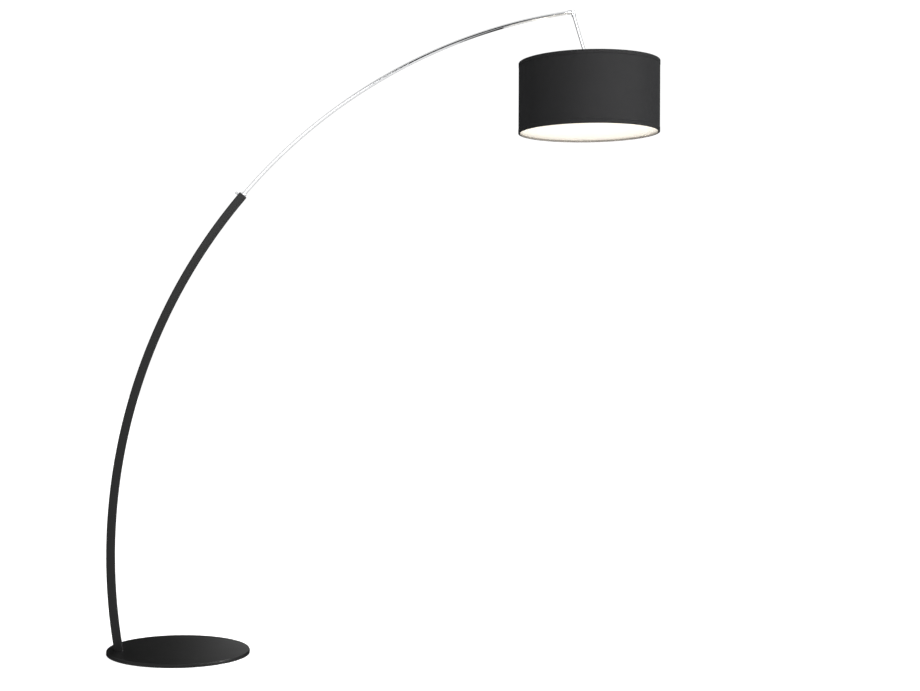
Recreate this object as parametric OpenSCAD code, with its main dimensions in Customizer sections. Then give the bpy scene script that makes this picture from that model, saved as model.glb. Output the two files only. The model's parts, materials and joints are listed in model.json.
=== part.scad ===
// Arc floor lamp. A leaning square lower arm stands near the edge of a heavy round base.
// A round upper arm slides in it along the same arc and is held by a thumbscrew.
// A short drop rod hangs from a knuckle at the tip and carries a level drum shade.
// Millimetres, +Z up. The origin is on the floor at the centre of the base, the arms lie
// in the XZ plane, and the shade is towards +X.

/* [Base] */
// Diameter of the steel base disc
base_d = 447; // [360:1:600]
// Thickness of the steel base disc
base_t = 11; // [8:0.5:16]
// Rounding of the disc's upper edge
base_edge_r = 3; // [1:0.5:5]
// Rounding of the disc's lower edge
base_foot_r = 0.5; // [0.5:0.25:2]
// Thickness of the felt under the disc
felt_t = 1; // [1:0.5:4]
// How far the felt stays inside the disc's edge
felt_inset = 4; // [2:0.5:20]
// Distance from the disc's edge to the middle of the lower arm's foot
foot_inset = 38.5; // [30:0.5:120]

/* [Lower arm] */
// Radius of the arc that both arms follow, at the middle of the tubes
arc_radius = 1752; // [1400:1:2200]
// Angle by which the foot leans away from the shade
foot_lean = 9.9; // [5:0.1:16]
// Length of the lower arm along the arc
lower_len = 1519; // [1200:1:1900]
// Outside width of the square tube
tube_w = 27; // [20:0.5:35]
// Wall of the square tube
tube_wall = 1.5; // [1:0.1:2.5]
// Outside corner radius of the square tube
tube_corner_r = 2; // [1.5:0.25:4]
// Length of the steel plug welded into the foot
plug_len = 34; // [30:1:60]
// Thread of the bolt that holds the foot
foot_bolt_d = 8; // [6:1:10]
// Depth to which the foot bolt enters the plug
foot_bolt_reach = 18; // [12:1:24]
// Diameter of the pin that stops the foot from turning
foot_pin_d = 3; // [2:0.5:4]
// Distance from the foot bolt to the foot pin
foot_pin_y = 7.3; // [6.5:0.1:8]
// Height of the cord grommet above the foot, along the arc
grommet_s = 75; // [60:1:200]
// Bore of the cord grommet
grommet_bore = 6.4; // [5:0.1:8]

/* [Slide and lock] */
// Length of the bush inside the mouth of the lower arm
bush_len = 80; // [40:1:120]
// Thickness of the cap that closes the mouth
cap_t = 2.5; // [1.5:0.5:5]
// Diameter of the bright collar on the cap
collar_d = 17; // [16:0.5:22]
// Height of the bright collar above the cap
collar_h = 6; // [3:0.5:15]
// Gap between the upper arm and the bush, all round
slide_gap = 0.15; // [0.05:0.01:0.3]
// Distance from the mouth down to the thumbscrew
screw_below_mouth = 6; // [6:0.5:30]
// Thread of the thumbscrew
screw_d = 4; // [3:0.5:6]
// Diameter of the thumbscrew's knob
knob_d = 7.5; // [6:0.5:20]
// Height of the thumbscrew's knob
knob_h = 8; // [5:0.5:15]
// Number of grooves round the knob
knob_grooves = 12; // [8:1:14]

/* [Upper arm] */
// Outside diameter of the upper arm
rod_d = 12; // [10:0.5:15]
// Wall of the upper arm
rod_wall = 1.2; // [0.8:0.1:2]
// Length from the lower arm's mouth to the tip knuckle, along the arc
upper_out = 1245.5; // [900:0.5:1600]
// Length of the upper arm that stays inside the lower arm
tail_len = 200; // [160:1:260]
// How far the upper arm can be pushed in
push_in = 400; // [100:1:500]
// Length of the guide on the tail of the upper arm
guide_len = 30; // [20:1:60]
// Gap between the guide and the square tube, on each side
guide_gap = 0.3; // [0.1:0.05:0.5]
// Diameter of the inner lead
lead_d = 5.4; // [4:0.1:6]

/* [Knuckles and drop rod] */
// How much larger in radius the knuckles are than the upper arm
knuckle_lip = 0.5; // [0.2:0.1:2]
// Thickness of a knuckle's tongue
tongue_t = 4; // [3:0.1:5]
// Thickness of a friction washer
washer_t = 0.5; // [0.3:0.1:1]
// Thread of a knuckle's screw
pivot_d = 4; // [3:0.5:5]
// Length of a fork from its pivot to its shoulder
fork_len = 17; // [14:0.5:30]
// Length of an eye from its pivot to its shoulder
eye_len = 14.5; // [12:0.5:30]
// Length of the spigots inside the tubes
spigot_len = 14; // [8:1:30]
// Outside diameter of the drop rod
drop_d = 10; // [8:0.5:12]
// Wall of the drop rod
drop_wall = 1; // [0.6:0.1:1.2]
// Distance between the two pivots
drop_len = 183; // [120:1:300]
// Angle between the drop rod and the vertical
drop_lean = 17.3; // [0:0.1:30]

/* [Shade] */
// Outside diameter of the shade's fabric
shade_d = 450; // [300:1:600]
// Height of the shade's fabric
shade_h = 226; // [180:1:320]
// Height of the shade's top edge above the lower pivot
rim_above_pivot = 12.6; // [5:0.1:40]
// Thickness of the fabric
fabric_t = 0.8; // [0.4:0.1:1.5]
// Thickness of the stiff white liner
liner_t = 0.8; // [0.4:0.1:1.5]
// Gap for the glue between fabric and liner
glue_gap = 0.2; // [0.1:0.05:0.4]
// Thickness of the folded hem
hem_t = 0.5; // [0.3:0.1:1]
// Height of the hem on the outside
hem_out_h = 12; // [6:0.5:20]
// Height of the hem on the inside
hem_in_h = 5; // [4:0.5:12]
// Diameter of the shade rings' wire
wire_d = 3; // [2:0.25:5]
// Diameter of the spokes
spoke_d = 3.5; // [2.5:0.25:6]
// Number of spokes
spokes = 3; // [3:1:6]
// Depth of the fitter ring below the lower pivot
fitter_depth = 57; // [54:1:60]
// Outside diameter of the fitter ring
fitter_d = 64; // [60:1:90]
// Thickness of the fitter ring
fitter_t = 2; // [1.5:0.25:3]

/* [Lampholder and bulb] */
// Diameter of the threaded nipple
nipple_d = 10; // [8:1:12]
// Diameter over the lampholder's outer thread
holder_d = 39.4; // [38:0.1:42]
// Wall of the lampholder's body
holder_wall = 2; // [1.5:0.1:3]
// Height of the lampholder's cap
holder_cap_h = 24; // [22:0.5:26]
// Height of the lampholder's body
holder_body_h = 42; // [40:0.5:50]
// Outside diameter of the ring nuts that clamp the fitter ring
ring_nut_d = 57; // [50:1:60]
// Height of a ring nut
ring_nut_h = 6; // [4:0.5:7]
// Diameter of the bulb's screw cap
bulb_cap_d = 26.2; // [26:0.1:27]
// Height of the bulb's screw cap
bulb_cap_h = 24; // [22:0.5:25]
// Diameter of the bulb's globe
bulb_d = 60; // [45:1:95]
// Wall of the bulb's glass
glass_t = 1; // [0.6:0.1:2]

/* [Hidden] */
$fn = 96;
// The arms' arc is so large that it needs finer steps than the small parts
arc_fn = 256;
// Gap between pieces that are pressed, screwed or welded together
seat_gap = 0.05;
// Gap round a screw's shank in a plain hole
hole_gap = 0.1;
// Gap round a straight spigot in a curved tube
bend_gap = 0.3;
// Extra depth that carries a cut right through a face
cut = 1;

base_top = felt_t + base_t;
bore_w = tube_w - 2 * tube_wall;
bore_corner_r = max(tube_corner_r - tube_wall, 0.25);
foot_x = foot_inset - base_d / 2;
arc_x = foot_x + arc_radius * cos(foot_lean);
arc_z = base_top + arc_radius * sin(foot_lean);
tail_s = lower_len - tail_len;
screw_s = lower_len - screw_below_mouth;
tip_s = lower_len + upper_out;
tip = arc_point(tip_s);
pivot = tip + drop_len * [sin(drop_lean), 0, -cos(drop_lean)];

bolt_head_r = foot_bolt_d;
bolt_head_h = foot_bolt_d / 2;
foot_pin_half = 5;

grommet_neck_r = grommet_bore / 2 + 1.8;
grommet_flange_r = grommet_neck_r + 2;
grommet_flange_t = 1.5;
grommet_nose = 7;
grommet_relief = 0.5;
lead_stub = 1.4;
lead_bend = bore_w / 2 - grommet_flange_t - hole_gap - lead_stub;

slide_r = rod_d / 2 + slide_gap;
// The spigot's wall as a share of the collar's
spigot_share = 0.53;
collar_spigot_r = slide_r + spigot_share * (collar_d / 2 - slide_r);
collar_spigot_h = cap_t + 1.5;
pad_h = 2;
pad_start = rod_d / 2 + 0.1;
knob_start = tube_w / 2 + 2;
neck_r = 3;

knuckle_r = rod_d / 2 + knuckle_lip;
ear_r = knuckle_r - 0.7;
slot_w = tongue_t + 2 * washer_t + 4 * seat_gap;
slot_floor = ear_r + 1;
neck_len = ear_r + 2.7;
seat_y = knuckle_r - 1;
pivot_head_r = 0.875 * pivot_d;
pivot_head_h = 2;
pivot_nut_w = 1.75 * pivot_d;
pivot_nut_h = 0.75 * pivot_d;

shade_r = shade_d / 2;
liner_r = shade_r - fabric_t - glue_gap;
wire_r = wire_d / 2;
ring_r = liner_r - liner_t - seat_gap - wire_r;
rim_z = rim_above_pivot;
hem_gap = 0.1;
ring_drop = wire_r + hem_gap;
hem_in_r = ring_r - wire_r - hem_gap;
fitter_z = -fitter_depth;

nipple_start = eye_len + 1.5;
nipple_end = eye_len + 15.5;
cap_z = -nipple_start - 1;
cap_wall = 1.6;
body_z = cap_z - holder_cap_h;
core_z = body_z - 2;
core_t = 10;
contact_z = core_z - core_t;
contact_h = 1.2;
shell_z = contact_z - 1.5;
shell_t = 0.4;
bulb_cap_z = contact_z - 4;
bulb_neck_r = bulb_cap_d / 2 - 0.7;
bulb_neck_z = bulb_cap_z - bulb_cap_h;
globe_r = bulb_d / 2;
// Slope at which the bulb's neck runs into its globe
globe_slope = 24;
globe_z = bulb_neck_z - globe_r * sin(globe_slope)
    - (globe_r * cos(globe_slope) - bulb_neck_r) / tan(globe_slope);

// Lean of the arc at the length s above the foot, and the point there
function lean(s) = s / arc_radius * 180 / PI - foot_lean;
function arc_point(s) =
    [arc_x - arc_radius * cos(lean(s)), 0, arc_z + arc_radius * sin(lean(s))];

// Stands children on the arc: their +Z runs up the arm, their -X is its outer side
module on_arc(s) translate(arc_point(s)) rotate([0, lean(s), 0]) children();

// Sweeps a flat outline along the arc
module along_arc(from, to)
    translate([arc_x, 0, arc_z]) rotate([90, 0, 0])
        rotate_extrude(start = 180 - lean(to), angle = lean(to) - lean(from), $fn = arc_fn)
            translate([arc_radius, 0]) children();

// Stands children on the drop rod: their +Z runs down it from the upper pivot
module on_drop(d) translate(tip) rotate([0, 180 - drop_lean, 0]) translate([0, 0, d]) children();

// Stands children on the shade's axis, at a height from the lower pivot
module on_shade(z) translate(pivot + [0, 0, z]) children();

module outwards() rotate([0, -90, 0]) children();
module frontwards() rotate([90, 0, 0]) children();
module backwards() rotate([-90, 0, 0]) children();

module round_square(w, r) {
    square([w, w - 2 * r], center = true);
    square([w - 2 * r, w], center = true);
    for (x = [-1, 1], y = [-1, 1]) translate([x, y] * (w / 2 - r)) circle(r);
}

module ring_outline(r_out, r_in) difference() {
    circle(r_out);
    circle(r_in);
}

// A hollow cylinder with its wall's two radii
module sleeve(r_out, r_in, h) difference() {
    cylinder(r = r_out, h = h);
    translate([0, 0, -cut]) cylinder(r = r_in, h = h + 2 * cut);
}

// Everything lower than the top of the base, round the foot
module under_base_top()
    translate([foot_x, 0, base_top - 2 * tube_w]) cube(4 * tube_w, center = true);

// ---- Base ----

module base_plate() color("#1d1d1f") difference() {
    translate([0, 0, felt_t]) rotate_extrude() {
        r = base_d / 2;
        square([r - base_edge_r, base_t]);
        translate([0, base_foot_r]) square([r, base_t - base_edge_r - base_foot_r]);
        square([r - base_foot_r, base_t / 2]);
        translate([r - base_edge_r, base_t - base_edge_r]) circle(base_edge_r);
        translate([r - base_foot_r, base_foot_r]) circle(base_foot_r);
    }
    translate([foot_x, 0, 0]) {
        cylinder(r = foot_bolt_d / 2 + hole_gap, h = base_top + cut);
        translate([0, 0, felt_t])
            cylinder(r1 = bolt_head_r + hole_gap, r2 = foot_bolt_d / 2 + hole_gap, h = bolt_head_h);
    }
    translate([foot_x, foot_pin_y, base_top - foot_pin_half - seat_gap])
        cylinder(r = foot_pin_d / 2 + seat_gap, h = foot_pin_half + cut);
}

module base_felt() color("#2a2a2a") cylinder(r = base_d / 2 - felt_inset, h = felt_t);

module foot_plug() color("#77797c") difference() {
    along_arc(-tube_w / 2, plug_len) round_square(bore_w - 2 * seat_gap, bore_corner_r);
    under_base_top();
    translate([foot_x, 0, base_top - cut])
        cylinder(r = foot_bolt_d / 2, h = cut + foot_bolt_reach + 2);
    translate([foot_x, foot_pin_y, base_top - cut])
        cylinder(r = foot_pin_d / 2 + seat_gap, h = cut + foot_pin_half + seat_gap);
}

module foot_bolt() color("#8a8c8e") translate([foot_x, 0, felt_t]) difference() {
    union() {
        cylinder(r1 = bolt_head_r, r2 = foot_bolt_d / 2 - seat_gap, h = bolt_head_h);
        cylinder(r = foot_bolt_d / 2 - seat_gap, h = base_t + foot_bolt_reach);
    }
    translate([0, 0, -cut]) cylinder(d = 0.7 * foot_bolt_d, h = cut + bolt_head_h / 2, $fn = 6);
}

module foot_pin() color("#9a9c9e")
    translate([foot_x, foot_pin_y, base_top - foot_pin_half])
        cylinder(d = foot_pin_d, h = 2 * foot_pin_half);

// ---- Lower arm ----

module lower_arm() color("#202022") difference() {
    along_arc(-tube_w / 2, lower_len) difference() {
        round_square(tube_w, tube_corner_r);
        round_square(bore_w, bore_corner_r);
    }
    under_base_top();
    on_arc(grommet_s) backwards() cylinder(r = grommet_neck_r + seat_gap, h = tube_w);
    on_arc(screw_s) outwards() cylinder(r = screw_d / 2 + 2 * hole_gap, h = tube_w);
}

module cord_grommet() color("#161616") on_arc(grommet_s) backwards() difference() {
    union() {
        translate([0, 0, bore_w / 2 - grommet_flange_t]) {
            cylinder(r = grommet_flange_r - 0.5, h = grommet_flange_t);
            cylinder(r = grommet_neck_r, h = grommet_flange_t + tube_wall + grommet_nose);
        }
        translate([0, 0, tube_w / 2]) cylinder(r = grommet_flange_r, h = grommet_flange_t);
    }
    cylinder(d = grommet_bore + 0.8, h = tube_w / 2 + grommet_relief);
    cylinder(d = grommet_bore, h = tube_w);
}

// Turns up inside the grommet in a thicker sheath, and climbs to where the pushed-in tail
// would reach
module lower_lead() color("#cfcac0") {
    sheath_d = lead_d + 0.6;
    along_arc(grommet_s + lead_bend - cut, tail_s - push_in - 15) circle(d = lead_d);
    on_arc(grommet_s + lead_bend) translate([0, lead_bend, 0]) {
        rotate([90, 0, 90]) rotate_extrude(start = 180, angle = 90)
            translate([lead_bend, 0]) circle(d = sheath_d);
        translate([0, 0, -lead_bend]) backwards() cylinder(d = sheath_d, h = lead_stub);
    }
}

module mouth_bush() color("#262628") difference() {
    union() {
        along_arc(lower_len - bush_len, lower_len)
            round_square(bore_w - 2 * seat_gap, bore_corner_r);
        on_arc(lower_len) {
            translate([0, 0, -cut]) linear_extrude(cut + cap_t)
                round_square(bore_w - 2 * tube_corner_r, bore_corner_r);
            linear_extrude(cap_t / 2) round_square(tube_w, tube_corner_r);
            linear_extrude(cap_t) round_square(tube_w - cap_t, tube_corner_r - cap_t / 4);
        }
    }
    along_arc(lower_len - bush_len - cut, lower_len + cap_t + cut)
        circle(slide_r);
    on_arc(lower_len) translate([0, 0, cap_t - collar_spigot_h])
        cylinder(r = collar_spigot_r + seat_gap, h = collar_spigot_h + cut);
    on_arc(screw_s) outwards() cylinder(r = screw_d / 2 + seat_gap, h = tube_w);
}

module guide_collar() color("#dfe1e3") difference() {
    on_arc(lower_len) {
        translate([0, 0, cap_t]) cylinder(d = collar_d, h = collar_h - 1);
        translate([0, 0, cap_t + collar_h - 1])
            cylinder(d1 = collar_d, d2 = collar_d - 2, h = 1);
        translate([0, 0, cap_t - collar_spigot_h])
            cylinder(r = collar_spigot_r, h = collar_spigot_h + cut);
    }
    along_arc(lower_len - cap_t - collar_spigot_h, lower_len + cap_t + collar_h + cut)
        circle(slide_r);
}

module clamp_pad() color("#c9a24a") on_arc(screw_s) outwards()
    translate([0, 0, pad_start]) cylinder(r = screw_d / 2 - seat_gap, h = pad_h);

module thumbscrew() color("#b9bbbd") on_arc(screw_s) outwards() {
    shank_start = pad_start + pad_h + seat_gap;
    translate([0, 0, shank_start]) cylinder(d = screw_d, h = knob_start - shank_start + cut);
    translate([0, 0, knob_start - 1.5]) cylinder(r = neck_r, h = 2);
    translate([0, 0, knob_start]) difference() {
        union() {
            cylinder(d = knob_d, h = knob_h - 1);
            translate([0, 0, knob_h - 1]) cylinder(d1 = knob_d, d2 = knob_d - 2, h = 1);
        }
        for (i = [0 : knob_grooves - 1]) rotate(i * 360 / knob_grooves)
            translate([knob_d / 2 + 0.2, 0, -cut]) cylinder(r = 0.55, h = knob_h + 2 * cut);
    }
}

// ---- Upper arm ----

module upper_arm() color("#d9dbde") along_arc(tail_s, tip_s - fork_len)
    ring_outline(rod_d / 2, rod_d / 2 - rod_wall);

module tail_guide() color("#e8e6e0") along_arc(tail_s, tail_s + guide_len) difference() {
    round_square(bore_w - 2 * guide_gap, bore_corner_r);
    circle(rod_d / 2 + seat_gap);
}

module upper_lead() color("#cfcac0")
    along_arc(tail_s + guide_len, tip_s - fork_len - spigot_len - 5) circle(d = lead_d);

// ---- Knuckles: the pivot is at the origin and the screw lies along Y ----

// The outline of a tongue or of a pair of ears, seen along the pivot
module lug_outline(len) {
    circle(ear_r);
    translate([-ear_r, 0]) square([2 * ear_r, len]);
}

// Its shoulder and spigot lie towards -Z
module fork(spigot_r) color("#d4d6d9") difference() {
    union() {
        translate([0, 0, -fork_len]) cylinder(r = knuckle_r, h = fork_len - slot_floor - 1);
        intersection() {
            translate([0, 0, -fork_len / 2 - slot_floor]) cylinder(r = knuckle_r, h = 3 * fork_len);
            frontwards() mirror([0, 1, 0]) translate([0, 0, -knuckle_r])
                linear_extrude(2 * knuckle_r) lug_outline(fork_len / 2 + slot_floor);
        }
        translate([0, 0, -fork_len - spigot_len]) cylinder(r = spigot_r, h = spigot_len + cut);
    }
    translate([-2 * knuckle_r, -slot_w / 2, -slot_floor])
        cube([4 * knuckle_r, slot_w, 2 * fork_len]);
    backwards() cylinder(r = pivot_d / 2 + hole_gap, h = 4 * knuckle_r, center = true);
    for (side = [-1, 1]) scale([1, side, 1]) backwards()
        translate([0, 0, seat_y]) cylinder(r = pivot_head_r + 0.9, h = knuckle_r);
}

// Its shoulder and spigot lie towards +Z
module eye(spigot_r, spigot_start, spigot_end) color("#d4d6d9") difference() {
    union() {
        frontwards() translate([0, 0, -tongue_t / 2])
            linear_extrude(tongue_t) lug_outline(neck_len + cut);
        translate([0, 0, neck_len]) cylinder(r = knuckle_r, h = eye_len - neck_len);
        translate([0, 0, spigot_start]) cylinder(r = spigot_r, h = spigot_end - spigot_start);
    }
    backwards() cylinder(r = pivot_d / 2 + seat_gap, h = 2 * knuckle_r, center = true);
}

module washer_pair() color("#3a3a3a")
    for (side = [-1, 1]) translate([0, side * (tongue_t + washer_t + 2 * seat_gap) / 2, 0])
        backwards() translate([0, 0, -washer_t / 2])
            sleeve(ear_r - 0.8, pivot_d / 2 + hole_gap, washer_t);

module pivot_screw() color("#bfc1c4") frontwards() difference() {
    union() {
        translate([0, 0, -seat_y - pivot_nut_h]) cylinder(d = pivot_d, h = 2 * seat_y + pivot_nut_h);
        translate([0, 0, seat_y]) cylinder(r = pivot_head_r, h = pivot_head_h);
    }
    translate([0, 0, seat_y + pivot_head_h / 2])
        cylinder(d = 0.7 * pivot_d, h = pivot_head_h, $fn = 6);
}

module pivot_nut() color("#bfc1c4") backwards() translate([0, 0, seat_y]) difference() {
    cylinder(d = pivot_nut_w / cos(30), h = pivot_nut_h, $fn = 6);
    translate([0, 0, -cut]) cylinder(r = pivot_d / 2 + seat_gap, h = pivot_nut_h + 2 * cut);
}

module tip_fork() on_arc(tip_s) fork(rod_d / 2 - rod_wall - bend_gap);
module tip_washers() on_arc(tip_s) washer_pair();
module tip_screw() on_arc(tip_s) pivot_screw();
module tip_nut() on_arc(tip_s) pivot_nut();

module drop_eye() on_drop(0)
    eye(drop_d / 2 - drop_wall - seat_gap, eye_len - cut, eye_len + spigot_len);

module drop_rod() color("#d9dbde") on_drop(eye_len)
    sleeve(drop_d / 2, drop_d / 2 - drop_wall, drop_len - eye_len - fork_len);

module drop_lead() color("#cfcac0") on_drop(eye_len + spigot_len + 5)
    cylinder(d = lead_d, h = drop_len - eye_len - fork_len - 2 * spigot_len - 10);

module drop_fork() on_drop(drop_len) fork(drop_d / 2 - drop_wall - seat_gap);
module shade_washers() on_drop(drop_len) washer_pair();
module shade_screw() on_drop(drop_len) pivot_screw();
module shade_nut() on_drop(drop_len) pivot_nut();

// ---- Lampholder ----

module shade_eye() on_shade(0) rotate([0, 180, 0]) eye(nipple_d / 2, eye_len - cut, nipple_end);

module nipple_nut() color("#bfc1c4") on_shade(cap_z - cap_wall - 3) difference() {
    cylinder(d = 1.4 * nipple_d / cos(30), h = 3, $fn = 6);
    translate([0, 0, -cut]) cylinder(r = nipple_d / 2 + seat_gap, h = 3 + 2 * cut);
}

// Half outline of the cap: a shoulder that curves out to a straight skirt
module cap_outline(r, h, top_r) {
    translate([0, -h]) square([r, h - (r - top_r)]);
    translate([0, -(r - top_r)]) square([top_r, r - top_r]);
    intersection() {
        translate([top_r, -(r - top_r)]) circle(r - top_r);
        translate([0, -r]) square([r, r]);
    }
}

module holder_cap() color("#e9e7e2") on_shade(cap_z) difference() {
    r = holder_d / 2 + 1;
    rotate_extrude() cap_outline(r, holder_cap_h, r / 2);
    translate([0, 0, -cap_wall]) rotate_extrude()
        cap_outline(r - cap_wall, holder_cap_h, r / 2 - cap_wall / 2);
    translate([0, 0, -2 * cap_wall]) cylinder(r = nipple_d / 2 + seat_gap, h = 4 * cap_wall);
}

module holder_body() color("#e9e7e2") on_shade(body_z - holder_body_h)
    sleeve(holder_d / 2, holder_d / 2 - holder_wall, holder_body_h);

module holder_core() color("#f2f0ea") on_shade(core_z - core_t)
    cylinder(r = holder_d / 2 - holder_wall - seat_gap, h = core_t);

module screw_shell() color("#c9a24a") on_shade(bulb_neck_z + 2)
    sleeve(bulb_cap_d / 2 + 0.3 + shell_t, bulb_cap_d / 2 + 0.3, shell_z - bulb_neck_z - 2);

module centre_contact() color("#c9a24a") on_shade(contact_z - contact_h)
    translate([-3, -2, 0]) cube([6, 4, contact_h]);

module ring_nuts() color("#e9e7e2") for (z = [fitter_z + fitter_t, fitter_z - ring_nut_h])
    on_shade(z) difference() {
        union() {
            cylinder(d = ring_nut_d, h = ring_nut_h / 2);
            cylinder(d = ring_nut_d - 6, h = ring_nut_h);
        }
        translate([0, 0, -cut]) cylinder(r = holder_d / 2 + seat_gap, h = ring_nut_h + 2 * cut);
    }

// ---- Shade ----

module wire_ring(z) on_shade(z) rotate_extrude() translate([ring_r, 0]) circle(wire_r);

// One spoke from the fitter ring up to the top ring, with a diameter of its own
module spoke(i, d) {
    start_r = fitter_d / 2 - 3;
    rise = rim_z - ring_drop - fitter_z - fitter_t / 2;
    run = ring_r - start_r;
    on_shade(fitter_z + fitter_t / 2) rotate(90 + i * 360 / spokes) translate([start_r, 0, 0])
        rotate([0, atan2(run, rise), 0]) cylinder(d = d, h = norm([run, rise]));
}

module top_frame() color("#f0efec") {
    wire_ring(rim_z - ring_drop);
    on_shade(fitter_z) sleeve(fitter_d / 2, holder_d / 2 + 0.5, fitter_t);
    for (i = [0 : spokes - 1]) spoke(i, spoke_d);
}

module bottom_ring() color("#f0efec") wire_ring(rim_z - shade_h + ring_drop);

module shade_liner() color("#f7f3ea") on_shade(rim_z - shade_h)
    sleeve(liner_r, liner_r - liner_t, shade_h);

module shade_fabric() color("#2b2b2e") on_shade(rim_z - shade_h)
    sleeve(shade_r, shade_r - fabric_t, shade_h);

// A strip folded over the edge at z = 0, with its two legs hanging down
module hem_ring() {
    h_out = hem_out_h + hem_gap;
    translate([0, 0, hem_gap - h_out])
        sleeve(shade_r + hem_gap + hem_t, shade_r + hem_gap, h_out + hem_t);
    translate([0, 0, hem_gap]) sleeve(shade_r + hem_gap + hem_t, hem_in_r - hem_t, hem_t);
    translate([0, 0, hem_gap - hem_in_h]) sleeve(hem_in_r, hem_in_r - hem_t, hem_in_h + hem_t);
}

module top_hem() color("#242427") difference() {
    on_shade(rim_z) hem_ring();
    for (i = [0 : spokes - 1]) spoke(i, spoke_d + 1);
}

module bottom_hem() color("#242427") on_shade(rim_z - shade_h) mirror([0, 0, 1]) hem_ring();

// ---- Bulb ----

module bulb_cap() color("#b9bbbd") on_shade(bulb_neck_z)
    sleeve(bulb_cap_d / 2, bulb_cap_d / 2 - 0.5, bulb_cap_h);

module bulb_tip() color("#1a1a1a") on_shade(bulb_cap_z - 2) {
    cylinder(r = bulb_cap_d / 2 - 0.5 - seat_gap, h = 2);
    translate([0, 0, 2]) cylinder(r1 = 8, r2 = 4, h = 4 - contact_h - hole_gap);
}

// The solid that fills a bulb with its wall shrunk by a margin
module bulb_solid(margin) {
    r = globe_r - margin;
    rim_r = r * cos(globe_slope);
    neck_z = bulb_neck_z + bulb_cap_h / 2;
    translate([0, 0, globe_z]) sphere(r);
    translate([0, 0, globe_z + r * sin(globe_slope)])
        cylinder(r1 = rim_r, r2 = bulb_neck_r - margin,
                 h = (rim_r - bulb_neck_r + margin) / tan(globe_slope));
    translate([0, 0, bulb_neck_z - 2]) cylinder(r = bulb_neck_r - margin, h = neck_z - bulb_neck_z + 2);
}

module bulb_glass() color("#fbf6e8") on_shade(0) difference() {
    bulb_solid(0);
    bulb_solid(glass_t);
}

base_plate();
base_felt();
foot_plug();
foot_bolt();
foot_pin();
lower_arm();
cord_grommet();
lower_lead();
mouth_bush();
guide_collar();
clamp_pad();
thumbscrew();
upper_arm();
tail_guide();
upper_lead();
tip_fork();
tip_washers();
tip_screw();
tip_nut();
drop_eye();
drop_rod();
drop_lead();
drop_fork();
shade_washers();
shade_screw();
shade_nut();
shade_eye();
nipple_nut();
holder_cap();
holder_body();
holder_core();
screw_shell();
centre_contact();
ring_nuts();
top_frame();
bottom_ring();
shade_liner();
shade_fabric();
top_hem();
bottom_hem();
bulb_cap();
bulb_tip();
bulb_glass();
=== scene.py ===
import json
from math import acos, asin, atan2, cos, hypot, pi, radians, sin

import bmesh
import bpy
from mathutils import Matrix, Vector


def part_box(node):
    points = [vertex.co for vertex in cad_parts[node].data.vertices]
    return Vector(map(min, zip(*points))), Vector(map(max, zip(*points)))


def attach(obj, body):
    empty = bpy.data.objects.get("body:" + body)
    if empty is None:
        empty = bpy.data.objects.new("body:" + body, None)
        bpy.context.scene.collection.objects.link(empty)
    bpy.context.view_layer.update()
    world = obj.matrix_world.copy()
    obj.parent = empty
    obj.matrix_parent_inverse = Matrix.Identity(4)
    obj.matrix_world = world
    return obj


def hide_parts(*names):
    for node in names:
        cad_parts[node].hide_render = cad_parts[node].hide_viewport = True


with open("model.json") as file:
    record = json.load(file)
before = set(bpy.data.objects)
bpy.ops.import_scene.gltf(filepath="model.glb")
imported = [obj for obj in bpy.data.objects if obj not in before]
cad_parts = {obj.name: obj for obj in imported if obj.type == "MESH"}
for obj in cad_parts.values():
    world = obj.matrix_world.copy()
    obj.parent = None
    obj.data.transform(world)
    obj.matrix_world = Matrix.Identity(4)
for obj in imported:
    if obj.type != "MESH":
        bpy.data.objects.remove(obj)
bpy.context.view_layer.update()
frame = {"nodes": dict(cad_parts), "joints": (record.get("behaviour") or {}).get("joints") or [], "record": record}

# ---- where things are, read from the frame ----

joints = {joint["name"]: joint for joint in frame["joints"]}
arcCentre = Vector(joints["arm_slide"]["pos_m"])
tipPivot = Vector(joints["tip_hinge"]["pos_m"])
shadePivot = Vector(joints["shade_tilt"]["pos_m"])
arcRadius = (tipPivot - arcCentre).length
drop = shadePivot - tipPivot
dropLean = atan2(drop.x, -drop.z)


def size(node):
    low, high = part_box(node)
    return high - low


def arcPlace(angle):  # stands a piece on the arc: its Z runs up the arm, its -X is the outer side
    spot = arcCentre + arcRadius * Vector((-cos(angle), 0, sin(angle)))
    return Matrix.Translation(spot) @ Matrix.Rotation(angle, 4, "Y")


def dropPlace(distance):  # stands a piece on the drop rod: its Z runs down from the upper pivot
    turn = Matrix.Rotation(pi - dropLean, 4, "Y")
    return Matrix.Translation(tipPivot) @ turn @ Matrix.Translation((0, 0, distance))


def shadePlace(height=0):  # stands a piece on the shade's axis, at a height above the lower pivot
    return Matrix.Translation(shadePivot + Vector((0, 0, height)))


def heights(node):  # lowest and highest point, counted from the lower pivot
    low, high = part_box(node)
    return low.z - shadePivot.z, high.z - shadePivot.z


# ---- shader maths ----

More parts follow.
